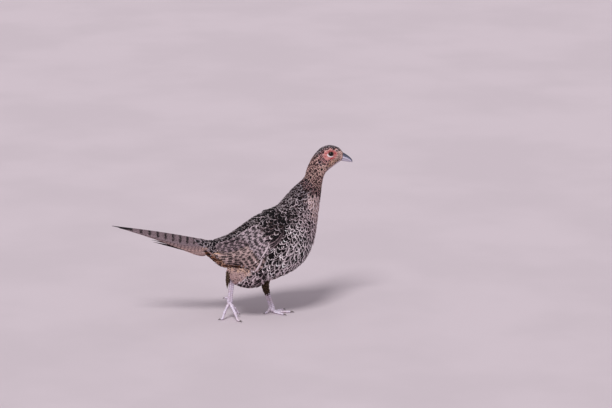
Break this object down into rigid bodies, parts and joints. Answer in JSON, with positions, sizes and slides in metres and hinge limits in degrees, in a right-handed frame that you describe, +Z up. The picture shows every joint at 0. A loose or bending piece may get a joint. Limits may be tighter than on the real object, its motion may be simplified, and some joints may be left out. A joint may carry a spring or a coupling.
{
  "type": "common pheasant hen, still model",
  "caption": "Life-size walking hen pheasant with folded wings, a long pointed tail of overlapping vanes, a short hooked bill and scaled legs; a still figure.",
  "frame": {"origin": "floor level under the middle of the whole bird's box", "axes": "+X the way the bird faces, +Y its left side, +Z up; the floor is Z = 0"},
  "size_m": [0.4745, 0.1184, 0.3354],
  "materials": {
    "mottled plumage": "mottled feathers, matt",
    "neck plumage": "fine mottled feathers, matt",
    "head plumage": "short feathers, matt",
    "wing plumage": "barred and fringed feathers, matt",
    "tail plumage": "barred long feathers, satin",
    "thigh plumage": "soft plain feathers, matt",
    "bill horn": "satin horn",
    "eye": "wet, glossy",
    "leg skin": "scaled skin, satin",
    "claw horn": "dark horn"
  },
  "bodies": {
    "root": {"torso": "mottled plumage", "neck": "neck plumage", "head": "head plumage", "tail": "tail plumage", "wing_left": "wing plumage", "wing_right": "wing plumage", "thigh_left": "thigh plumage", "thigh_right": "thigh plumage", "bill_upper": "bill horn", "bill_lower": "bill horn", "eye_left": "eye", "eye_right": "eye", "tarsus_left": "leg skin", "tarsus_right": "leg skin", "foot_left": "leg skin", "foot_right": "leg skin", "claw_left_middle": "claw horn", "claw_left_outer": "claw horn", "claw_left_inner": "claw horn", "claw_left_hind": "claw horn", "claw_right_middle": "claw horn", "claw_right_outer": "claw horn", "claw_right_inner": "claw horn", "claw_right_hind": "claw horn"}
  },
  "joints": []
}
